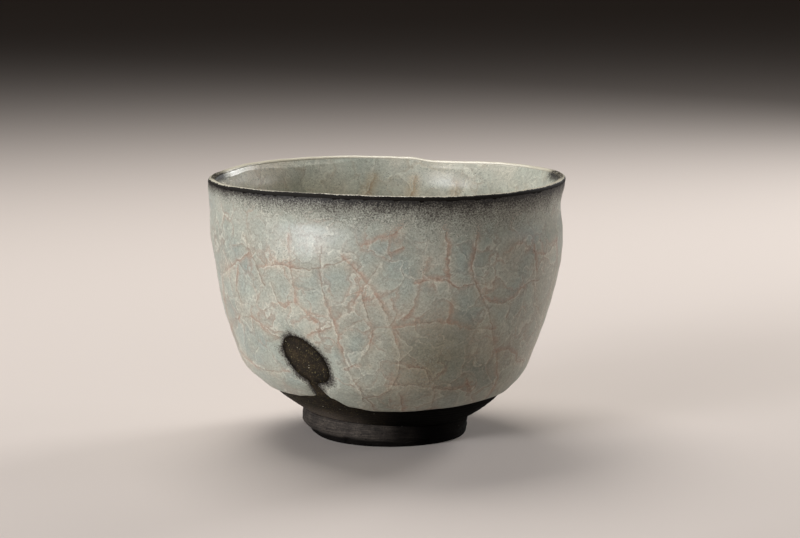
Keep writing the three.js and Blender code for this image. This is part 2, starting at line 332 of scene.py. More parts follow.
def crackFields(points, curve, push):
    # For each family of cracks, two numbers at each point: millimetres to the nearest crack,
    # counted negative on its one side, and the same plainly. A crack is a smooth curve through its
    # corners, laid on the face. The inside has them at the same depth below the lip.
    down = curve["length"] - wallLength
    reach = cracks["reach"]
    fields = {}
    for family in ("rising", "level"):
        side = np.full(len(points), reach)
        near = np.full(len(points), reach)
        for corners in cracks[family]:
            front = traceCurve(corners, steps=14)["points"]
            back = np.array([0, cracks["backTop"]]) - front
            back[:, 0] = 90 + (back[:, 0] - 90) * cracks["backSpread"]
            for path in (front, back):
                distance = np.clip(path[:, 1] + down, 0.5, curve["length"])
                laid = pointOn(curve, distance, push, path[:, 0])
                lifted = pointOn(curve, distance, push - 1, path[:, 0]) - laid
                across = np.cross(np.gradient(laid, axis=0), lifted)
                across = across / np.linalg.norm(across, axis=1)[:, None]
                inReach = (points > laid.min(axis=0) - reach) & (points < laid.max(axis=0) + reach)
                chosen = np.flatnonzero(inReach.all(axis=1))
                gaps = np.linalg.norm(points[chosen, None] - laid[None], axis=2)
                nearest = gaps.argmin(axis=1)
                gap = gaps[np.arange(len(chosen)), nearest]
                closer = gap < near[chosen]
                chosen, nearest = chosen[closer], nearest[closer]
                near[chosen] = gap[closer]
                side[chosen] = ((points[chosen] - laid[nearest]) * across[nearest]).sum(axis=1)
        fields[family] = np.stack([side, near, near * 0], axis=-1)
    return fields


# Painted shade: soft darker, browner patches on the lower front-right wall, where less light falls:
# angle, distance up the wall, reach, strength
paintedShadePatches = [(-72, 36, 17, 0.75), (-40, 30, 16, 0.35), (-92, 15, 10, 0.4)]


def paintedShadeAt(points):
    # The sum of the patches, each a bell round its middle
    total = 0
    for angle, distance, reach, strength in paintedShadePatches:
        middle = pointOn(outside, distance, 0, angle)
        total = total + strength * np.exp(-((points - middle) ** 2).sum(axis=1) / reach ** 2)
    return np.minimum(total, 1)


# Columns round the bowl, closer together across the finger mark
columnPlan = {"near": 0.55, "far": 1.16, "from": -139, "to": -102, "easing": 6}


def bowlColumns():
    # Angles whose spacing is one over a density, found where the summed density passes whole steps
    angle = np.linspace(-180, 180, 7201)
    inZone = smooth((angle - columnPlan["from"]) / columnPlan["easing"] + 0.5)
    inZone = inZone * smooth((columnPlan["to"] - angle) / columnPlan["easing"] + 0.5)
    spacing = columnPlan["far"] + (columnPlan["near"] - columnPlan["far"]) * inZone
    total = np.concatenate([[0], np.cumsum(np.diff(angle) / spacing[1:])])
    count = int(round(total[-1]))
    return np.interp(np.arange(count) / count * total[-1], total, angle)


columnAngles = bowlColumns()


def bands(rows, columns, closed=False):
    # Quads between each row of points and the next, round the bowl, and from last to first row
    # if the outline closes on itself. Rows run so that the outside is on their right.
    row, column = np.meshgrid(np.arange(rows if closed else rows - 1), np.arange(columns), indexing="ij")
    row, above = row * columns, (row + 1) % rows * columns
    beside = (column + 1) % columns
    return np.stack([row + column, row + beside, above + beside, above + column], axis=-1).reshape(-1, 4)


def capped(rows, lowEnd, highEnd):
    # The points and faces of a surface of rows round the bowl, with both of its ends closed at
    # points on the axis, at these heights
    count, columns = rows.shape[:2]
    points = np.concatenate([rows.reshape(-1, 3), [[0, 0, lowEnd], [0, 0, highEnd]]])
    ring = np.arange(columns)
    beside = (ring + 1) % columns
    lastRow = (count - 1) * columns
    low = np.stack([ring * 0 + len(points) - 2, beside, ring], axis=-1)
    high = np.stack([lastRow + ring, lastRow + beside, ring * 0 + len(points) - 1], axis=-1)
    return points, bands(count, columns).tolist() + low.tolist() + high.tolist()


def makePiece(name, points, faces, tones, node):
    # A mesh in metres, smooth but for its sharp folds, that carries its material's tones by point
    mesh = bpy.data.meshes.new(name)
    mesh.from_pydata((points * metresPerMillimetre).tolist(), [], faces)
    mesh.shade_smooth()
    mesh.set_sharp_from_angle(angle=math.radians(62))
    for label, values in tones.items():
        isPlain = values.ndim == 1
        layer = mesh.attributes.new(label, "FLOAT" if isPlain else "FLOAT_VECTOR", "POINT")
        layer.data.foreach_set("value" if isPlain else "vector", values.astype(np.float32).ravel())
    piece = bpy.data.objects.new(name, mesh)
    bpy.context.scene.collection.objects.link(piece)
    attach(piece, "root")
    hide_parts(node)
    print(f"{name}: {len(mesh.vertices)} points, {len(mesh.polygons)} faces")
    return piece


# The clay body: the domed underside in the foot ring, the bare cone, the wall, the lip, the inside
body = {
    "wellRadius": 19.9, "wellDome": 1.0, "wellRows": 14,
    "coneTo": 24.0, "coneStep": 0.5,
    "markTo": 47.0, "markStep": 0.62,
    "hiddenTo": 4.0, "hiddenStep": 3.0,
    "lipRows": [3.2, 2.4, 1.8, 1.2, 0.8, 0.4, 0.0],
    "hollowRows": [0, 0.4, 0.9, 1.4, 1.8, 2.1, 2.5, 3.4, 4.6],
    "hollowFrom": 6, "hollowStep": 3.4, "hollowEnd": 2,
    "crestRows": 16, "crestTurn": 130, "crestRise": 1.85,
    "crestWander": 0.16, "crestWanderSize": 5, "crestFine": 0.5, "crestFineSize": 1.7,
    "grooveDepth": 0.06, "groovePitch": 1.7, "grooveWander": 0.3, "grooveWanderSize": 9,
    "grooveEase": 1.5, "groovesTo": 14.0, "groovesFade": 10.0,
    "gritDepth": 0.05, "gritSize": 0.9, "gritEase": 0.8, "rootInset": 0.6,
    "lipBandWidth": 3.0, "lipBandShare": 0.1,
    "wears": {-172: -0.12, -158: -0.1, -136: -0.02, -116: 0.05, -104: -0.02, -60: 0.0, -16: -0.08,
              8: -0.08, 90: 0.0, 150: -0.04},
    # The cone's painted shade by angle, deepest on the right front where the shadow falls, and how far up the
    # wall it reaches and fades out
    "paintedShades": {-150: 0.1, -128: 0.1, -112: 0.45, -98: 0.75, -80: 1.0, -20: 1.0, 60: 0.4, 150: 0.2},
    "paintedShadeTo": 16.0, "paintedShadeFade": 4.0,
    # How much greyer the cone is by angle, and the distance up the wall over which that fades out
    "greyed": {-150: 0.7, -128: 1.0, -108: 0.7, -92: 0.0, -20: 0.0, 60: 0.4, 150: 0.6},
    "greyedTo": 11.0,
    "markBorder": 1.5, "markBurn": 0.6, "markBurnFrom": 21.0, "markBurnFade": 5.0,
}


def clayBody():
    # One outline of rows from the middle of the underside, out and up the wall, over the lip and
    # down to the floor inside. The lip is an ellipse's arc between the two walls, upright outside
    # and still sloping where it meets the inside.
    angle = columnAngles[None, :]
    out = np.arange(1, body["wellRows"] + 1)[:, None] / body["wellRows"]
    under = handShaped(body["wellRadius"] * out, footHeight + body["wellDome"] * (1 - out ** 2), angle)

    distance = np.concatenate([
        np.arange(0, body["coneTo"], body["coneStep"]),
        np.arange(body["coneTo"], body["markTo"], body["markStep"]),
        np.arange(body["markTo"], wallLength - body["hiddenTo"], body["hiddenStep"]),
        wallLength - np.array(body["lipRows"]),
    ])[:, None]
    place = pointOn(outside, distance, coatAt(distance), angle)
    wander = body["grooveWander"] * bumps(place, body["grooveWanderSize"], 12)
    turns = distance / body["groovePitch"] + angle / 360 + wander
    bare = 1 - smooth((distance - body["groovesTo"]) / body["groovesFade"])
    rough = np.sin(2 * math.pi * turns) * body["grooveDepth"] * bare
    rough = rough * smooth(distance / body["grooveEase"])
    grit = body["gritDepth"] * bumps(place, body["gritSize"], 14)
    rough = rough + grit * smooth(distance / body["gritEase"])
    wall = pointOn(outside, distance, coatAt(distance) - swell(distance, angle) - rough, angle)

    outer = offCurve(outside, wallLength, coat["lip"])
    inner = offCurve(inside, inside["length"], innerMesh["lipThin"] - facetAt(0, angle))
    lastTurn = math.radians(body["crestTurn"])
    turn = np.linspace(0, lastTurn, body["crestRows"] + 2)[1:-1, None]
    across = (1 - np.cos(turn)) / (1 - math.cos(lastTurn))
    arc = np.sin(turn) - math.sin(lastTurn) * across
    ringPoints = handShaped(*outer, angle)
    fine = body["crestFine"] * bumps(ringPoints, body["crestFineSize"], 21)
    wander = bumps(ringPoints, body["crestWanderSize"], 20) + fine - 1
    rise = body["crestRise"] + body["crestWander"] * wander
    crestRadii, crestHeights = (start + (end - start) * across for start, end in zip(outer, inner))
    crest = handShaped(crestRadii, crestHeights + rise * arc, angle)

    rest = np.arange(body["hollowFrom"], inside["length"] - body["hollowEnd"], body["hollowStep"])
    fromLip = np.concatenate([body["hollowRows"], rest])[:, None]
    hollow = pointOn(inside, inside["length"] - fromLip, -facetAt(fromLip, angle), angle)

    root = handShaped(footRadius - body["rootInset"], footHeight, angle)
    rows = np.concatenate([under, root, wall, crest, hollow])
    points, faces = capped(rows, footHeight + body["wellDome"], floorHeight)

    # How far over the lip a point is, from 0 on the outside to 1 inside, for the film of glaze there,
    # less where it wore off and more where it ran over; how dark the lens at each end is; how black
    # the underside and the cone are painted as shade, most on the right front, together with the black
    # the fire left at the finger mark's border; and how much greyer the cone is, by angle
    onWall = slice(len(under) + 1, len(under) + 1 + len(wall))
    onCrest = slice(onWall.stop, onWall.stop + len(crest))
    lipShare, lens, shadeAndBurn, greyed = (np.zeros(rows.shape[:2]) for _ in range(4))
    lipShare[onWall] = body["lipBandShare"] * (distance > wallLength - body["lipBandWidth"])
    lipShare[onCrest] = across
    lipShare[onCrest.stop:] = 1
    left = np.maximum(lipShare - aroundBowl(body["wears"], angle), body["lipBandShare"])
    lipShare = np.where(lipShare > 0, left, 0)
    lens[:] = aroundBowl(innerMesh["lenses"], angle)
    onCone = 1 - smooth((distance - body["paintedShadeTo"]) / body["paintedShadeFade"])
    onCone = onCone * aroundBowl(body["paintedShades"], angle)
    onMark = 1 - smooth(-bareness(angle, distance) / body["markBorder"])
    onMark = onMark * smooth((distance - body["markBurnFrom"]) / body["markBurnFade"])
    shadeAndBurn[:onWall.start] = 1
    shadeAndBurn[onWall] = np.maximum(onCone, body["markBurn"] * onMark)
    greyed[onWall] = aroundBowl(body["greyed"], angle)
    greyed[onWall] *= 1 - smooth(distance / body["greyedTo"])
    tones = {
        "lipShare": np.append(lipShare, [0, 1]),
        "lens": np.append(lens, [0, 0]),
        "shadeAndBurn": np.append(shadeAndBurn, [1, 0]),
        "greyed": np.append(greyed, [0, 0]),
    }
    return makePiece("thrown_clay", points, faces, tones, "clay_bowl")


# The foot ring, turned from the leather-hard clay: a flat land, a chamfered heel, a rough side. The
# heel's corners are shares of its ease and rise, and each stretch of the outline is cut so many
# times coarser than the row step.
foot = {
    "landRadius": 25.4, "landWidth": 4.5,
    "heelRise": 3.2, "heelEase": 1.6, "heelCorners": [(0.75, 0.3), (1.0, 0.65)],
    "sideEase": 0.2, "sideUpright": 0.7, "wellEase": 1.0, "topEase": 0.45,
    "columns": 440, "rowStep": 0.17, "coarse": [4, 1, 1, 1, 1, 1, 1, 14, 6, 3], "landLevel": 0.01,
    "strokeDepth": 0.05, "strokePitch": 1.05, "hatchPitch": 0.45, "strokeStretch": [0.14, 0.14, 1.0],
    "sideFade": 0.8, "topFade": 0.5,
    "chipDepth": 0.5, "chipSize": 3.4, "chipGain": 1.6, "chipRarity": 0.35,
    "chipsAt": 0.35, "chipsReach": 1.5,
    "pitDepth": 0.28, "pitSize": 0.9, "pitGain": 4, "pitRarity": 2.5,
    "waveDepth": 0.14, "waveSize": 12,
    # Painted shade: the foot is blackened by angle, deepest on the right front, and at its heel and the
    # crease under the bowl, where the shadow falls
    "paintedShades": {-150: 0.15, -112: 0.0, -98: 0.25, -80: 0.85, -60: 1.0, -20: 0.9, 40: 0.3, 110: 0.1, 160: 0.4},
    "heelShade": 0.9, "heelShadeTo": 0.55, "heelShadeFade": 1.2, "creaseShade": 0.45, "creaseHeight": 0.9,
}


def footRing():
    # A closed outline carried round the axis: straight and eased stretches between its corners,
    # roughened off its side by the turning tool's strokes, chips along the heel and open pits
    landInner = foot["landRadius"] - foot["landWidth"]
    wellRadius = landInner - foot["wellEase"]
    corners = np.array([
        (landInner, 0),
        (foot["landRadius"], 0),
        *(
            (foot["landRadius"] + out * foot["heelEase"], up * foot["heelRise"])
            for out, up in foot["heelCorners"]
        ),
        (footRadius - foot["sideEase"], foot["heelRise"]),
        (footRadius, foot["sideUpright"] * footHeight),
        (footRadius, footHeight - foot["topEase"]),
        (footRadius - foot["topEase"], footHeight),
        (wellRadius, footHeight),
        (wellRadius, foot["wellEase"]),
    ])
    following = np.roll(corners, -1, axis=0)
    stretches = []
    for start, end, coarseness in zip(corners, following, foot["coarse"]):
        count = max(2, int(round(np.linalg.norm(end - start) / (foot["rowStep"] * coarseness))))
        stretches.append(start + (end - start) * (np.arange(count) / count)[:, None])
    outline = np.concatenate(stretches)
    # Each row's place is averaged with its neighbours', which rounds the corners
    for _ in range(2):
        eased = (np.roll(outline, 1, axis=0) + 2 * outline + np.roll(outline, -1, axis=0)) / 4
        outline = np.where(outline[:, 1:] > foot["landLevel"], eased, outline)
    direction = np.roll(outline, -1, axis=0) - np.roll(outline, 1, axis=0)
    direction = direction / np.linalg.norm(direction, axis=1)[:, None]
    outward = np.stack([direction[:, 1], -direction[:, 0]], axis=-1)
    radius, height = outline[:, :1], outline[:, 1:]
    angle = np.arange(foot["columns"])[None, :] * 360 / foot["columns"] - 180
    place = handShaped(radius, height, angle)
    stretched = place * foot["strokeStretch"]
    side = smooth((radius - foot["landRadius"]) / foot["sideFade"]) * smooth(height / foot["sideFade"])
    side = side * smooth((footHeight - height) / foot["topFade"])
    strokes = bumps(stretched, foot["strokePitch"], 31) + bumps(stretched, foot["hatchPitch"], 32)
    nearHeel = np.exp(-((height - foot["chipsAt"] * foot["heelRise"]) / foot["chipsReach"]) ** 2)
    chips = smooth(bumps(place, foot["chipSize"], 34) * foot["chipGain"] - foot["chipRarity"])
    chips = foot["chipDepth"] * chips * nearHeel
    pits = smooth(bumps(place, foot["pitSize"], 36) * foot["pitGain"] - foot["pitRarity"])
    pits = foot["pitDepth"] * pits
    wave = foot["waveDepth"] * (bumps(place, foot["waveSize"], 38) - 1)
    push = (foot["strokeDepth"] * strokes + wave - chips - pits) * side
    moved = handShaped(radius + push * outward[:, :1], height + push * outward[:, 1:], angle)
    points = moved.reshape(-1, 3)
    faces = bands(len(outline), foot["columns"], closed=True).tolist()
    # Painted shade blackens the right front side, the heel and the crease under the bowl, where the shadow
    # falls
    shadeAndBurn = aroundBowl(foot["paintedShades"], angle)
    heel = 1 - smooth((height - foot["heelShadeTo"] * foot["heelRise"]) / foot["heelShadeFade"])
    heel = foot["heelShade"] * heel
    crease = smooth((height - footHeight + foot["creaseHeight"]) / foot["creaseHeight"])
    crease = foot["creaseShade"] * crease
    shadeAndBurn = np.maximum(np.maximum(shadeAndBurn, heel), crease).ravel()
    return makePiece("turned_foot", points, faces, {"shadeAndBurn": shadeAndBurn}, "foot_ring")


# The glaze outside: rows up from its lower edge, close together where it rolls over
outerMesh = {
    "rollRows": [0, 0.07, 0.2, 0.4, 0.66, 0.98, 1.36, 1.8],
    "fineTo": 31.0, "fineStep": 0.58, "coarseStep": 1.25,
    "lipRows": [3.0, 2.3, 1.7, 1.2, 0.8, 0.5, 0.25, 0],
    "lipEdge": 2.6,
    "nearOut": 0.3, "nearIn": -2.2, "offEdge": 0.05,
    "nudges": 5, "nudge": 0.02, "leastSlope": 0.05, "hair": 0.01,
    "markEdge": 5.0, "markThin": 0.25, "markThinFade": 7.0, "markReach": 5,
    "edgeToneFade": 0.8, "edgeToneStart": 0.2,
    "lipSteps": [0, 0.4, 0.9, 1.7, 2.4, 3.2, 4.2, 5.5, 7.5, 9.5, 12],
    "lipTones": [0.0, 0.06, 0.18, 0.36, 0.47, 0.55, 0.65, 0.75, 0.9, 1.02, 1.2],
    "lipSpreads": {-175: 0.35, -155: 0.45, -125: 0.7, -95: 1.0, -62: 1.25, -35: 1.0, 0: 0.9, 60: 1.1,
                   110: 0.8, 150: 0.6},
}


def glazeShell(angle, distance, push, layers, keep):
    # A closed shell over a grid of points: the face, and the back that lies in the clay, which share
    # their points along the rim. Triangles that keep no point are left out. The layers of tones are
    # those of the points used.
    rows, columns = keep.shape
    quads = bands(rows, columns)
    triangles = np.concatenate([quads[:, [0, 1, 2]], quads[:, [0, 2, 3]]])
    triangles = triangles[keep.ravel()[triangles].any(axis=1)]
    used = np.zeros(rows * columns, bool)
    used[triangles] = True
    number = np.cumsum(used) - 1
    ownBack = used & keep.ravel()
    backNumber = np.where(ownBack, used.sum() + np.cumsum(ownBack) - 1, number)
    face = pointOn(outside, distance, -push, angle).reshape(-1, 3)
    under = coatAt(distance) - swell(distance, angle) + coat["bed"]
    back = pointOn(outside, distance, under, angle).reshape(-1, 3)
    points = np.concatenate([face[used], back[ownBack]])
    faces = number[triangles].tolist() + backNumber[triangles][:, ::-1].tolist()
    tones = {}
    for label, values in layers.items():
        values = values.reshape(rows * columns, -1).squeeze()
        tones[label] = np.concatenate([values[used], values[ownBack]])
    return points, faces, tones


def outerGlaze():
    # Rows follow the lower edge, so that it is smooth, and points within half a cell of the finger
    # mark are moved onto its outline by Newton's steps along the slope of its distance
    angle = np.broadcast_to(columnAngles[None, :], (1, len(columnAngles)))
    edge = edgeAt(angle)
    roll = np.array(outerMesh["rollRows"])
    fine = np.arange(roll[-1] + outerMesh["fineStep"], outerMesh["fineTo"], outerMesh["fineStep"])
    low = np.concatenate([roll, fine])[:, None]
    lipRows = np.array(outerMesh["lipRows"])
    room = wallLength - lipRows[0] - edge - low[-1]
    count = int(round(room.mean() / outerMesh["coarseStep"]))
    high = edge + low[-1] + room * (np.arange(1, count + 1) / count)[:, None]
    top = np.broadcast_to((wallLength - lipRows[1:])[:, None], (len(lipRows) - 1, len(columnAngles)))
    distance = np.concatenate([edge + low, high, top])
    angle = np.broadcast_to(angle, distance.shape).copy()
    gap = glazeEdge(angle, distance)
    cell = outerMesh["fineStep"]
    near = (gap < outerMesh["nearOut"] * cell) & (gap > outerMesh["nearIn"] * cell)
    near = near & (distance - edge > outerMesh["offEdge"])
    nudge = outerMesh["nudge"]
    for _ in range(outerMesh["nudges"]):
        here = glazeEdge(angle, distance)
        degreesPerStep = nudge / np.radians(offCurve(outside, distance, 0)[0])
        slopeAcross = (glazeEdge(angle + degreesPerStep, distance) - here) / nudge
        slopeUp = (glazeEdge(angle, distance + nudge) - here) / nudge
        slopeSquared = np.maximum(slopeAcross ** 2 + slopeUp ** 2, outerMesh["leastSlope"])
        step = np.clip(np.where(near, here / slopeSquared, 0), -cell, cell)
        angle = angle - step * slopeAcross * degreesPerStep / nudge
        distance = distance - step * slopeUp
    gap = np.where(near, 0, glazeEdge(angle, distance))
    keep = (gap > outerMesh["hair"]) & (distance < wallLength - outerMesh["hair"])

    # Thickness: a fat roll at the lower edge, and a softer edge round the finger mark
    gap = np.maximum(gap, 0)
    fromMark = np.maximum(bareness(angle, distance), 0)
    fromEdge = np.maximum(distance - edge, 0)
    atMark = smooth((fromEdge - fromMark) / outerMesh["markReach"] + 0.5)
    edgeWidth = outerMesh["markEdge"] * atMark + coat["rollEdge"] * (1 - atMark)
    rounded = np.sqrt(1 - (1 - np.minimum(gap / edgeWidth, 1)) ** 2)
    rounded = rounded + (smooth(gap / edgeWidth) - rounded) * atMark
    proud = coat["rollProud"] * (1 - smooth(fromEdge / coat["rollFade"])) * (1 - atMark)
    thin = 1 - outerMesh["markThin"] * (1 - smooth(fromMark / outerMesh["markThinFade"]))
    atLip = smooth((wallLength - distance) / outerMesh["lipEdge"])
    thickness = (coatAt(distance) + proud) * rounded * thin * atLip
    thickness = np.where(gap > outerMesh["hair"], thickness, -coat["seat"])
    push = thickness - coatAt(distance) + swell(distance, angle)

    # What the eye reads as depth, from 0 where the glaze is bare to 1 where it is thick. It grows
    # away from the mark, sooner or later in streaks, and away from the lip.
    across, up = acrossMark(angle, distance)
    run = np.hypot(across - mark["runPlace"][0], up - mark["runPlace"][1])
    fringe = mark["fringe"] + (mark["runFringe"] - mark["fringe"]) * (1 - smooth(run / mark["runReach"]))
    bearing, out = np.arctan2(up, across) * mark["streaks"], fromMark / mark["streakLength"]
    bearing = np.stack([bearing, out, across * 0], axis=-1)
    fringe = fringe * (1 + mark["streakDepth"] * bumps(bearing, 1.0, 50))
    belowLip = (wallLength - distance) / aroundBowl(outerMesh["lipSpreads"], angle)
    depth = np.interp(belowLip, outerMesh["lipSteps"], outerMesh["lipTones"])
    # Within a millimetre of the lower edge the glaze reads darker: it is thin there, and the dark line at its
    # foot is in part painted shade where the roll meets the clay
    edgeTone = smooth(gap / outerMesh["edgeToneFade"] + outerMesh["edgeToneStart"])
    depth = depth * np.where(atMark > 0.5, np.clip(fromMark / fringe, 0, 1), edgeTone)
    # For fine rays out of the mark: a place on a circle by bearing, and how far out, from 0 to 1
    circle = mark["rayCircle"] / np.maximum(np.hypot(across, up), 0.01)
    rays = np.stack([across * circle, up * circle, np.minimum(fromMark / mark["rayReach"], 1)], axis=-1)
    points, faces, tones = glazeShell(angle, distance, push, {"glazeDepth": depth, "rays": rays}, keep)
    tones.update(crackFields(points, outside, 0))
    tones["paintedShade"] = paintedShadeAt(points)
    return makePiece("glaze_outside", points, faces, tones, "outer_glaze")


# The glaze inside, from the middle of the floor to just under the lip
innerMesh = {
    "rowStep": 0.95, "columns": 300,
    "lipRows": [3.2, 2.7, 2.3, 2.1, 1.95, 1.8, 1.6, 1.4, 1.15, 0.9, 0.6, 0.35, 0.15, 0],
    "lipThin": 0.3, "lipThinReach": 8.0,
    "glowAngle": 72, "glowSpread": 22, "glowBelow": 2.4, "glowReach": 4.2, "glowHeight": 0.7, "glowFade": 2.5,
    "ringPitch": 5.2, "ringDepth": 0.03, "ringWander": 0.3, "ringWanderSize": 26,
    "waveDepth": 0.1, "waveSize": 17, "floorFade": 6, "lipFade": 12,
    "lenses": {-177: 1.0, -164: 0.0, -17: 0.0, -5: 0.9, 10: 1.0, 19: 0.0, 160: 0.0, 169: 1.0},
    "lensReach": 4.0, "fullTone": 1.3, "lensTone": 0.05, "axisTone": 1.1,
}


def innerGlaze():
    # The clay's inside pushed inwards by the glaze, which thins towards the lip and meets its crest
    # flush, with the spiral that the thrower's fingers left and a bell-shaped bulge where the far
    # wall catches the light. The back lies in the clay.
    length = inside["length"]
    lipRows = length - np.array(innerMesh["lipRows"])
    count = int(round(lipRows[0] / innerMesh["rowStep"]))
    distance = np.concatenate([lipRows[0] * np.arange(1, count) / count, lipRows])[:, None]
    below = length - distance
    angle = np.arange(innerMesh["columns"])[None, :] * 360 / innerMesh["columns"] - 180
    place = pointOn(inside, distance, 0, angle)
    wander = innerMesh["ringWander"] * bumps(place, innerMesh["ringWanderSize"], 42)
    turns = distance / innerMesh["ringPitch"] - angle / 360 + wander
    rings = innerMesh["ringDepth"] * np.sin(2 * math.pi * turns)
    rings = rings + innerMesh["waveDepth"] * bumps(place, innerMesh["waveSize"], 43)
    bulge = (below - innerMesh["glowBelow"]) / innerMesh["glowReach"]
    bulge = np.exp(-(aside(angle, innerMesh["glowAngle"]) / innerMesh["glowSpread"]) ** 2 - bulge ** 2)
    thickness = coat["inside"] - innerMesh["lipThin"]
    thickness = innerMesh["lipThin"] + thickness * smooth(below / innerMesh["lipThinReach"])
    thickness = thickness + innerMesh["glowHeight"] * bulge * smooth(below / innerMesh["glowFade"])
    rings = rings * smooth(distance / innerMesh["floorFade"]) * smooth(below / innerMesh["lipFade"])
    thickness = thickness + rings
    cut = facetAt(below, angle)
    face = pointOn(inside, distance, thickness - cut, angle)
    back = pointOn(inside, distance, -coat["bed"] - cut, angle)[:-1]
    rows = np.concatenate([back, face[::-1]])
    points, faces = capped(rows, floorHeight - coat["bed"], floorHeight + coat["inside"])
    lens = aroundBowl(innerMesh["lenses"], angle)
    lens = lens * (1 - smooth(below / innerMesh["lensReach"]))
    depth = innerMesh["fullTone"] - (innerMesh["fullTone"] - innerMesh["lensTone"]) * lens
    depth = np.append(np.concatenate([depth[:-1], depth[::-1]]), [innerMesh["axisTone"]] * 2)
    tones = {"glazeDepth": depth, "paintedShade": depth * 0, "rays": np.ones((len(depth), 3))}
    tones.update(crackFields(points, inside, coat["inside"]))
    return makePiece("glaze_inside", points, faces, tones, "inner_glaze")


clayPiece = clayBody()
footPiece = footRing()
outerPiece = outerGlaze()
innerPiece = innerGlaze()
print("meshes: the four layers of the bowl are made")


def linear(hexColour):
    # An sRGB hex colour as the linear values that the shader takes
    shares = [int(hexColour[place:place + 2], 16) / 255 for place in (1, 3, 5)]
    return [x / 12.92 if x <= 0.04045 else ((x + 0.055) / 1.055) ** 2.4 for x in shares] + [1.0]


def addNode(tree, kind, inputs, operation=None, **settings):
    # Adds a shader node, sets it, and links or sets its inputs, which come by name or in the order
    # of those that its settings leave in use. A ramp's stops are [place, hex colour] from low to
    # high. Returns the node's outputs.
    made = tree.nodes.new("ShaderNode" + kind)
    stops = settings.pop("stops", [])
    for place, colour in stops[1:-1]:
        made.color_ramp.elements.new(place)
    for stop, (place, colour) in zip(made.color_ramp.elements if stops else [], stops):
        stop.position = place
        stop.color = linear(colour)
    if operation:
        made.operation = operation
    for label, value in settings.items():
        setattr(made, label, value)
    inUse = [socket for socket in made.inputs if socket.enabled]
    for label, value in inputs.items() if isinstance(inputs, dict) else enumerate(inputs):
        socket = inUse[label] if isinstance(label, int) else made.inputs[label]
        if isinstance(value, bpy.types.NodeSocket):
            tree.links.new(value, socket)
        else:
            socket.default_value = value
    return made.outputs


def startMaterial(name, piece, gloss):
    # An empty material on a piece. Constant values go on the shader's own sockets. Returns what adds
    # a node to it, its shader, and the place on the piece in millimetres.
    material = bpy.data.materials.new(name)
    material.use_nodes = True
    tree = material.node_tree
    tree.nodes.clear()
    shader = tree.nodes.new("ShaderNodeBsdfPrincipled")
    for label, value in gloss.items():
        shader.inputs[label].default_value = value
    output = tree.nodes.new("ShaderNodeOutputMaterial")
    tree.links.new(shader.outputs["BSDF"], output.inputs["Surface"])
    piece.data.materials.append(material)
    add = functools.partial(addNode, tree)
    place = [add("TexCoord", [])["Object"], 1 / metresPerMillimetre]
    return add, shader, add("VectorMath", place, "SCALE")[0]


def drive(shader, values):
    # Links a value to each named socket of a material's shader
    for label, value in values.items():
        shader.id_data.links.new(value, shader.inputs[label])


def mottle(add, place, size, detail, roughness, low, high):
    # A noise with bumps of this size, read from low to high
    noise = add("TexNoise", [place, 1 / size, detail, roughness])["Fac"]
    return add("MapRange", [noise, 0.3, 0.7, low, high])[0]


eased = {"interpolation_type": "SMOOTHSTEP"}

# Crackled ash glaze: feldspar and iron fired thick in reduction, satin where fine crystals formed.
# The eye sees grey-green plates that overlap like scales, their cracks stained pink-brown, a fine
# frost of crystals, and a dark speckled film wherever the glaze is thin over the clay. What pushes
# the cracks about is given as size, detail and reach.
crackle = {
    "wander": [(14, 3.0, 20.0), (2.4, 2.0, 2.3)],
    "maskFrom": 1.3, "maskTo": 2.1,
    "turnSize": 16, "randomness": 0.95,
    "warmReach": 4.2,
    # In each layer, shade is how much a plate's colour is painted lighter or darker near its edges, as
    # painted light and shade, and shadeReach how far in that reaches
    "layers": [
        {"cell": 5.4, "shift": 6, "stain": 0.12, "core": 0.05, "sliver": 0.3, "width": 0.7, "patch": 7,
         "gone": 0.46, "shade": 0.03, "shadeReach": 1.8, "tint": 0.05},
        {"cell": 10.5, "shift": 17, "stain": 0.3, "core": 0.14, "sliver": 0.55, "width": 0.9, "patch": 9,
         "gone": 0.42, "shade": 0.06, "shadeReach": 2.8, "tint": 0.07},
        {"family": "level", "stain": 0.42, "core": 0.4, "sliver": 0.5, "width": 1.05, "patch": 11,
         "gone": 0.4, "shade": 0.06, "shadeReach": 3.0},
        {"family": "rising", "stain": 0.46, "core": 0.4, "sliver": 0.5, "width": 1.1, "patch": 12,
         "gone": 0.4, "shade": 0.06, "shadeReach": 3.0},
    ],
    "stainWidth": 1.7, "stainOnTop": 0.4, "stainFade": 0.2,
    "coreWidth": 0.42, "coreGone": 0.42, "coreFade": 0.18,
    "sliverFrom": 0.08, "sliverPeak": 0.4, "sliverTo": 1.0, "sliverGone": 0.4, "sliverFade": 0.18,
    "peelSize": 0.9, "peel": 0.55, "bump": 0.06,
    "grainSize": 0.85, "speckleSize": 0.5, "driftSize": 5.0, "rayWidth": 0.5,
    "pinholeSize": 3.6, "pinholeRarity": 0.95, "pinhole": [0.03, 0.12, 0.55, 0.0], "pinholeTone": "#4b463d",
}


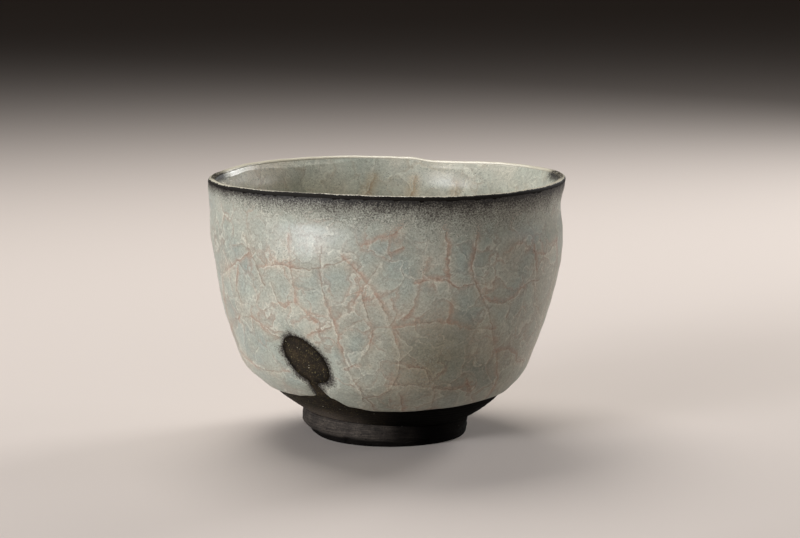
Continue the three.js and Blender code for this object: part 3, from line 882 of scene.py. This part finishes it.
def crackLayer(add, place, warped, wobble, plan, look):
    # One generation of cracks: millimetres to the nearest crack, 1 on the plate that lies on top of
    # its neighbour there and 0 on the one below, and a chance share for each plate
    layer = dict(plan)
    if "family" in plan:
        field = add("SeparateXYZ", [add("Attribute", [], attribute_name=plan["family"])["Vector"]])
        side = add("Math", [field["X"], wobble], "ADD")[0]
        beyond = add("MapRange", [field["Y"], crackle["maskFrom"], crackle["maskTo"]])[0]
        across = add("Math", [side], "ABSOLUTE")[0]
        layer["gap"] = add("Mix", [beyond, across, field["Y"]])[0]
        turn = add("TexNoise", [place, 1 / crackle["turnSize"], 1.0])["Fac"]
        turn = add("Math", [turn, look["overlap"]], "SUBTRACT")[0]
        turn = add("Math", [side, turn], "MULTIPLY")[0]
        layer["onTop"] = add("Math", [turn, 0.0], "GREATER_THAN")[0]
        return layer
    shift = (plan["shift"], plan["shift"] / 2, -plan["shift"])
    moved = add("VectorMath", [warped, shift], "ADD")[0]
    cells = {"Vector": moved, "Scale": 1 / plan["cell"], "Randomness": crackle["randomness"]}
    gap = add("TexVoronoi", cells, feature="DISTANCE_TO_EDGE")["Distance"]
    layer["gap"] = add("Math", [gap, plan["cell"]], "MULTIPLY")[0]
    own, other = (
        add("SeparateColor", [add("TexVoronoi", cells, feature=nearest)["Color"]]) for nearest in ("F1", "F2")
    )
    layer["onTop"] = add("Math", [own[0], other[0]], "GREATER_THAN")[0]
    layer["share"] = own[1]
    return layer


def drawCracks(add, place, colour, relief, layer, look):
    # One generation of cracks on the glaze. Each plate is a little prouder towards an edge that lies on
    # top, and its colour is painted lighter there and duller towards an edge that lies below, as painted
    # light and shade of that relief. The stain spreads under the upper plate's edge, has a thin dark
    # core, and the edge itself is a light sliver. All three fade in and out along the crack.
    gap, onTop, width = layer["gap"], layer["onTop"], layer["width"]
    sign = add("Math", [onTop, 2.0, -1.0], "MULTIPLY_ADD")[0]
    fade = add("MapRange", [gap, 0.0, layer["shadeReach"], layer["shade"], 0.0], **eased)[0]
    shade = add("Math", [fade, sign, 1.0], "MULTIPLY_ADD")[0]
    colour = add("VectorMath", [colour, shade], "SCALE")[0]
    relief = add("Math", [shade, look["relief"], relief], "MULTIPLY_ADD")[0]
    if "share" in layer:
        tint = add("MapRange", [layer["share"], 0.0, 1.0, 1 - layer["tint"], 1 + layer["tint"]])[0]
        colour = add("VectorMath", [colour, tint], "SCALE")[0]

    spread = crackle["stainWidth"] * width
    spread = [onTop, (crackle["stainOnTop"] - 1) * spread, spread]
    spread = add("Math", spread, "MULTIPLY_ADD")[0]
    stain = add("MapRange", [gap, 0.0, spread, layer["stain"] * look["stained"], 0.0], **eased)[0]
    core = [gap, 0.0, crackle["coreWidth"] * width, layer["core"] * look["stained"], 0.0]
    core = add("MapRange", core, **eased)[0]
    peak = crackle["sliverPeak"] * width
    rise = add("MapRange", [gap, crackle["sliverFrom"], peak], **eased)[0]
    fall = add("MapRange", [gap, peak, crackle["sliverTo"] * width, layer["sliver"], 0.0], **eased)[0]
    sliver = add("Math", [rise, fall], "MULTIPLY")[0]
    sliver = add("Math", [sliver, onTop], "MULTIPLY")[0]
    patches = add("TexNoise", [place, 1 / layer["patch"], 2.0, 0.6])["Color"]
    patches = add("SeparateColor", [patches])
    gone = [layer["gone"], crackle["coreGone"], crackle["sliverGone"]]
    for index, (label, share) in enumerate({"stain": stain, "core": core, "sliver": sliver}.items()):
        full = gone[index] + crackle[label + "Fade"]
        strong = add("MapRange", [patches[index], gone[index], full])[0]
        share = add("Math", [share, strong], "MULTIPLY")[0]
        colour = add("Mix", [share, colour, linear(look[label])], data_type="RGBA")[2]
    return colour, relief


def crackledGlaze(name, piece, look):
    add, shader, place = startMaterial(name, piece, look["gloss"])

    # Cracks wander: the place is pushed about by a slow noise, and shivered by a quick one
    warped = place
    for size, detail, reach in crackle["wander"]:
        push = add("TexNoise", [place, 1 / size, detail])["Color"]
        push = add("VectorMath", [push, (0.5, 0.5, 0.5)], "SUBTRACT")[0]
        push = add("VectorMath", [push, reach], "SCALE")[0]
        warped = add("VectorMath", [warped, push], "ADD")[0]
    wobble = add("SeparateXYZ", [push])
    layers = [
        crackLayer(add, place, warped, wobble[index % 3], plan, look)
        for index, plan in enumerate(crackle["layers"])
    ]

    # The body of the glaze: cool and warm clouds, warmer beside the long cracks
    cloud = add("TexNoise", [place, 1 / look["cloudSize"], 2.0])["Fac"]
    colour = add("ValToRGB", [cloud], stops=look["clouds"])["Color"]
    beside = add("Math", [layers[-1]["gap"], layers[-2]["gap"]], "MINIMUM")[0]
    beside = add("MapRange", [beside, 0.0, crackle["warmReach"], look["warmth"], 0.0], **eased)[0]
    colour = add("Mix", [beside, colour, linear(look["warm"])], data_type="RGBA")[2]

    # The cracks, finest first, over an orange-peel skin
    relief = add("TexNoise", [place, 1 / crackle["peelSize"], 2.0, 0.6])["Fac"]
    relief = add("Math", [relief, crackle["peel"]], "MULTIPLY")[0]
    for layer in layers:
        colour, relief = drawCracks(add, place, colour, relief, layer, look)

    # Frost: fine crystals, light and dark, down to less than half a millimetre
    frost = mottle(add, place, crackle["grainSize"], 2.0, 0.9, 1 - look["frost"], 1 + look["frost"])
    colour = add("VectorMath", [colour, frost], "SCALE")[0]

    # Painted shade: where the patches lie the glaze is painted browner and darker
    paintedShade = add("Attribute", [], attribute_name="paintedShade")["Fac"]
    paintedShade = [paintedShade, colour, linear(look["paintedShade"])]
    colour = add("Mix", paintedShade, data_type="RGBA", blend_type="MULTIPLY")[2]

    # Thin glaze: its depth is roughened by speckle, drift and rays out of the finger mark, then
    # read on a ramp from bare brown-black to grey
    speckle = mottle(add, place, crackle["speckleSize"], 2.0, 0.8, -look["speckle"], look["speckle"])
    drift = mottle(add, place, crackle["driftSize"], 2.0, 0.6, -look["drift"], look["drift"])
    rough = add("Math", [speckle, drift], "ADD")[0]
    rays = add("Attribute", [], attribute_name="rays")["Vector"]
    nearMark = add("SeparateXYZ", [rays])["Z"]
    nearMark = add("MapRange", [nearMark, 0.0, 1.0, look["rays"], 0.0])[0]
    ray = mottle(add, rays, crackle["rayWidth"], 2.0, 0.7, -1.0, 1.0)
    rough = add("Math", [ray, nearMark, rough], "MULTIPLY_ADD")[0]
    depth = add("Attribute", [], attribute_name="glazeDepth")["Fac"]
    read = add("Math", [depth, rough], "ADD")[0]
    film = add("ValToRGB", [read], stops=look["film"])["Color"]
    thin = add("MapRange", [read, look["filmFrom"], look["filmTo"], 1.0, 0.0], **eased)[0]
    colour = add("Mix", [thin, colour, film], data_type="RGBA")[2]

    # Pinholes: a few small dark dots
    dots = add("TexVoronoi", {"Vector": place, "Scale": 1 / crackle["pinholeSize"]}, feature="F1")
    chosen = add("SeparateColor", [dots["Color"]])[0]
    chosen = add("Math", [chosen, crackle["pinholeRarity"]], "GREATER_THAN")[0]
    dot = add("MapRange", [dots["Distance"], *crackle["pinhole"]])[0]
    dot = add("Math", [dot, chosen], "MULTIPLY")[0]
    colour = add("Mix", [dot, colour, linear(crackle["pinholeTone"])], data_type="RGBA")[2]

    # Satin skin: rougher where the glaze is thin, with the plates' edges proud or sunken
    gloss = add("MapRange", [read, 0.3, 1.0, look["thinRoughness"], look["roughness"]])[0]
    bump = {"Height": relief, "Strength": 0.7, "Distance": crackle["bump"] * metresPerMillimetre}
    drive(shader, {"Base Color": colour, "Roughness": gloss, "Normal": add("Bump", bump)["Normal"]})


outerLook = {
    "gloss": {"IOR": 1.5, "Metallic": 0.0, "Coat Weight": 0.0},
    "clouds": [[0.3, "#969f97"], [0.47, "#a1a599"], [0.64, "#a9a99c"]],
    "cloudSize": 15,
    "warm": "#b0a28e", "warmth": 0.32,
    "stained": 1.2, "stain": "#ab8874", "core": "#7b6353",
    "overlap": 0.4, "sliver": "#cccabb", "relief": 9.0,
    # The browner tone multiplied in there is painted shade on the lower front-right wall
    "frost": 0.24, "paintedShade": "#b5a48c",
    "speckle": 0.42, "drift": 0.1, "rays": 0.3,
    "film": [[0.06, "#0e0b08"], [0.2, "#29251f"], [0.36, "#49453e"], [0.52, "#66645c"], [0.75, "#86877c"],
             [1.0, "#9ea094"]],
    "filmFrom": 0.8, "filmTo": 1.1,
    "roughness": 0.4, "thinRoughness": 0.6,
}
innerLook = dict(
    outerLook,
    clouds=[[0.3, "#b2b5a8"], [0.47, "#bcbcae"], [0.64, "#c3bcac"]],
    cloudSize=20, warm="#bda685", warmth=0.5, stained=0.7, stain="#ad8a66", core="#7f644a",
    frost=0.18, roughness=0.34, speckle=0.6,
)


def stonewareNodes(add, place, look):
    # Iron-dark stoneware as fired: brown-black with grog and grains of quartz and feldspar that
    # show as pale and yellow specks, each by spacing, rarity, radius, colour and strength. Returns
    # its colour and its grit as a height.
    cloud = add("TexNoise", [place, 1 / look["cloudSize"], 4.0, 0.65])["Fac"]
    colour = add("ValToRGB", [cloud], stops=look["clay"])["Color"]
    grit = add("TexNoise", [place, 1 / look["gritSize"], 2.0, 0.8])["Fac"]
    lift = add("MapRange", [grit, 0.3, 0.7, 1 - look["gritTint"], 1 + look["gritTint"]])[0]
    colour = add("VectorMath", [colour, lift], "SCALE")[0]
    for spacing, rarity, radius, tone, amount in look["specks"]:
        speck = add("TexVoronoi", {"Vector": place, "Scale": 1 / spacing}, feature="F1")
        chosen = add("SeparateColor", [speck["Color"]])[0]
        chosen = add("Math", [chosen, rarity], "GREATER_THAN")[0]
        dot = [speck["Distance"], radius / spacing / 2, radius / spacing, amount, 0.0]
        dot = add("MapRange", dot, **eased)[0]
        dot = add("Math", [dot, chosen], "MULTIPLY")[0]
        colour = add("Mix", [dot, colour, linear(tone)], data_type="RGBA")[2]
    return colour, grit


# The tones of the lip take over from one another by how far over the lip a point is
clayLook = {
    "gloss": {"IOR": 1.5, "Metallic": 0.0},
    "clay": [[0.3, "#151009"], [0.48, "#211a10"], [0.66, "#32281a"]],
    "cloudSize": 4.5, "gritSize": 0.5, "gritTint": 0.8, "bump": 0.12,
    "specks": [
        (0.62, 0.3, 0.2, "#59502f", 0.85),
        (0.95, 0.55, 0.19, "#8b8058", 0.85),
        (1.9, 0.72, 0.2, "#e2dcc6", 0.95),
    ],
    # The near-black tone is painted shade on the cone and underside, and the fire's black at the finger
    # mark's border
    "greyed": "#6b6056", "shadeAndBurnTone": "#030201",
    "lipBand": "#120e0a", "lipBandShares": [0.0, 0.02, 0.0, 0.95],
    # The cream over the crest is partly the glaze's thin film and partly a painted highlight, lighter than
    # the glaze
    "creamAndHighlight": "#d9d2bd", "creamShares": [0.22, 0.32],
    "runIn": "#bfb9a8", "runInShares": [0.8, 0.95],
    "lens": "#2b2620", "lensShares": [0.36, 0.5],
    "ragged": 0.11, "raggedSize": 0.9,
    "roughness": [0.8, 0.25], "sheen": [0.25, 0.04], "creamSheen": 0.5,
}
footLook = dict(
    clayLook,
    gloss={"IOR": 1.5, "Metallic": 0.0, "Roughness": 0.85},
    clay=[[0.3, "#2a2521"], [0.48, "#3a342f"], [0.68, "#4c453e"]],
    gritTint=0.4,
    specks=[(1.4, 0.66, 0.34, "#0c0907", 0.9), (2.4, 0.82, 0.3, "#e4dfd4", 0.95)],
    # The foot's near-black tone is painted shade, and its sheen drops there
    shadeAndBurnTone="#020101", sheen=[0.3, 0.05],
    strokeScale=(0.11, 0.11, 3.4), strokeTint=[0.32, 0.68, 0.3, 1.75], strokeRelief=1.6,
)


def darkStoneware():
    # Bare clay of the cone, the finger mark and the well. Over the lip the glaze pulled so thin that
    # it shows as a cream line, painted lighter than the glaze in part as the bright highlight along the
    # lip, and from there it runs down inside.
    add, shader, place = startMaterial("fired dark stoneware", clayPiece, clayLook["gloss"])
    colour, grit = stonewareNodes(add, place, clayLook)
    greyed, over, shadeAndBurn, lens = (
        add("Attribute", [], attribute_name=label)["Fac"] for label in ("greyed", "lipShare", "shadeAndBurn", "lens")
    )
    dusty = add("MapRange", [grit, 0.35, 0.65, 0.35, 1.0])[0]
    greyed = add("Math", [greyed, dusty], "MULTIPLY")[0]
    band = add("MapRange", [over, *clayLook["lipBandShares"]])[0]
    ragged = mottle(add, place, clayLook["raggedSize"], 3.0, 0.8, -clayLook["ragged"], clayLook["ragged"])
    reach = add("Math", [over, ragged], "ADD")[0]
    creamAndHighlight = add("MapRange", [reach, *clayLook["creamShares"]], **eased)[0]
    runIn = add("MapRange", [reach, *clayLook["runInShares"]], **eased)[0]
    dark = add("MapRange", [reach, *clayLook["lensShares"]])[0]
    patchy = add("Math", [ragged, 6.0, 0.9], "MULTIPLY_ADD")[0]
    dark = add("Math", [dark, patchy], "MULTIPLY")[0]
    lens = add("Math", [lens, dark], "MULTIPLY", use_clamp=True)[0]
    # Each tone lies over the ones before it. The near-black one is painted shade on the cone and
    # underside, and the fire's black at the finger mark's border.
    tones = {"greyed": greyed, "lipBand": band, "creamAndHighlight": creamAndHighlight, "shadeAndBurnTone": shadeAndBurn, "runIn": runIn, "lens": lens}
    for label, share in tones.items():
        colour = add("Mix", [share, colour, linear(clayLook[label])], data_type="RGBA")[2]
    rough = add("MapRange", [creamAndHighlight, 0.0, 1.0, *clayLook["roughness"]])[0]
    sheen = add("MapRange", [shadeAndBurn, 0.0, 1.0, *clayLook["sheen"]])[0]
    sheen = add("Mix", [creamAndHighlight, sheen, clayLook["creamSheen"]])[0]
    bump = {"Height": grit, "Strength": 0.6, "Distance": clayLook["bump"] * metresPerMillimetre}
    drive(shader, {"Base Color": colour, "Roughness": rough, "Specular IOR Level": sheen,
                   "Normal": add("Bump", bump)["Normal"]})


def turnedStoneware():
    # The same clay where the turning tool dragged its grit: drier and greyer, in level strokes
    add, shader, place = startMaterial("turned foot stoneware", footPiece, footLook["gloss"])
    colour, grit = stonewareNodes(add, place, footLook)
    drawn = add("Mapping", {"Vector": place, "Scale": footLook["strokeScale"]})["Vector"]
    strokes = add("TexNoise", [drawn, 1.0, 4.0, 0.75])["Fac"]
    tint = add("MapRange", [strokes, *footLook["strokeTint"]])[0]
    colour = add("VectorMath", [colour, tint], "SCALE")[0]
    # Painted shade: the foot's right front side, heel and crease are painted near black, with less sheen
    shadeAndBurn = add("Attribute", [], attribute_name="shadeAndBurn")["Fac"]
    colour = add("Mix", [shadeAndBurn, colour, linear(footLook["shadeAndBurnTone"])], data_type="RGBA")[2]
    sheen = add("MapRange", [shadeAndBurn, 0.0, 1.0, *footLook["sheen"]])[0]
    relief = add("Math", [strokes, footLook["strokeRelief"], grit], "MULTIPLY_ADD")[0]
    bump = {"Height": relief, "Strength": 0.7, "Distance": footLook["bump"] * metresPerMillimetre}
    drive(shader, {"Base Color": colour, "Specular IOR Level": sheen, "Normal": add("Bump", bump)["Normal"]})


crackledGlaze("crackled ash glaze", outerPiece, outerLook)
crackledGlaze("crackled ash glaze, tea stained", innerPiece, innerLook)
darkStoneware()
turnedStoneware()
print("materials: glazes and bare clays are made")

# The stage: a plain pale table that falls into shade with distance, and soft studio light. Each lamp
# has its place, what it aims at, its width and height, its watts and its colour.
studio = {
    "tableSize": 14.0,
    "tableColour": "#cfc5be",
    "world": "#26221f",
    "camera": {"place": (0.0042, -0.778, 0.1757), "pitch": 8.78, "lens": 105, "farthest": 50},
    "lamps": {
        "key": [(-0.84, -0.68, 0.24), (0, 0, 0.05), (0.36, 0.34), 7.6, "#f6f9ff"],
        "high key": [(-0.63, -0.8, 0.46), (0, 0, 0.05), (0.4, 0.36), 3.2, "#ffffff"],
        "top": [(-0.18, 0.4, 0.86), (0.04, 0.1, 0), (0.7, 0.6), 7.6, "#fffdfa"],
        "right": [(1.05, 0.22, 0.28), (0, 0, 0.05), (0.3, 0.22), 1.5, "#ffffff"],
        "back right": [(0.71, 0.71, 0.53), (0, 0, 0.08), (0.34, 0.22), 5.0, "#ffffff"],
    },
}


def makeTable():
    half = studio["tableSize"] / 2
    mesh = bpy.data.meshes.new("table")
    corners = [(-half, -half, 0), (half, -half, 0), (half, half, 0), (-half, half, 0)]
    mesh.from_pydata(corners, [], [(0, 1, 2, 3)])
    table = bpy.data.objects.new("table", mesh)
    bpy.context.scene.collection.objects.link(table)
    startMaterial("matt table", table, {"Roughness": 0.9, "Base Color": linear(studio["tableColour"])})


def makeLights():
    world = bpy.data.worlds.new("studio")
    bpy.context.scene.world = world
    world.use_nodes = True
    background = world.node_tree.nodes["Background"]
    background.inputs["Color"].default_value = linear(studio["world"])
    background.inputs["Strength"].default_value = 1.0
    for name, (place, aim, size, watts, colour) in studio["lamps"].items():
        light = bpy.data.lights.new(name, "AREA")
        light.shape = "RECTANGLE"
        light.size, light.size_y = size
        light.energy = watts
        light.color = linear(colour)[:3]
        holder = bpy.data.objects.new(name, light)
        bpy.context.scene.collection.objects.link(holder)
        gaze = np.array(aim) - np.array(place)
        fall = math.acos(-gaze[2] / np.linalg.norm(gaze))
        holder.location = place
        holder.rotation_euler = (fall, 0, math.atan2(gaze[1], gaze[0]) - math.pi / 2)


def makeCamera():
    plan = studio["camera"]
    data = bpy.data.cameras.new("camera")
    data.lens = plan["lens"]
    data.clip_end = plan["farthest"]
    camera = bpy.data.objects.new("camera", data)
    bpy.context.scene.collection.objects.link(camera)
    camera.location = plan["place"]
    camera.rotation_euler = (math.radians(90 - plan["pitch"]), 0, 0)
    bpy.context.scene.camera = camera


makeTable()
makeLights()
makeCamera()
bpy.context.scene.view_settings.view_transform = "Standard"
print("stage: table, lamps and camera are set")
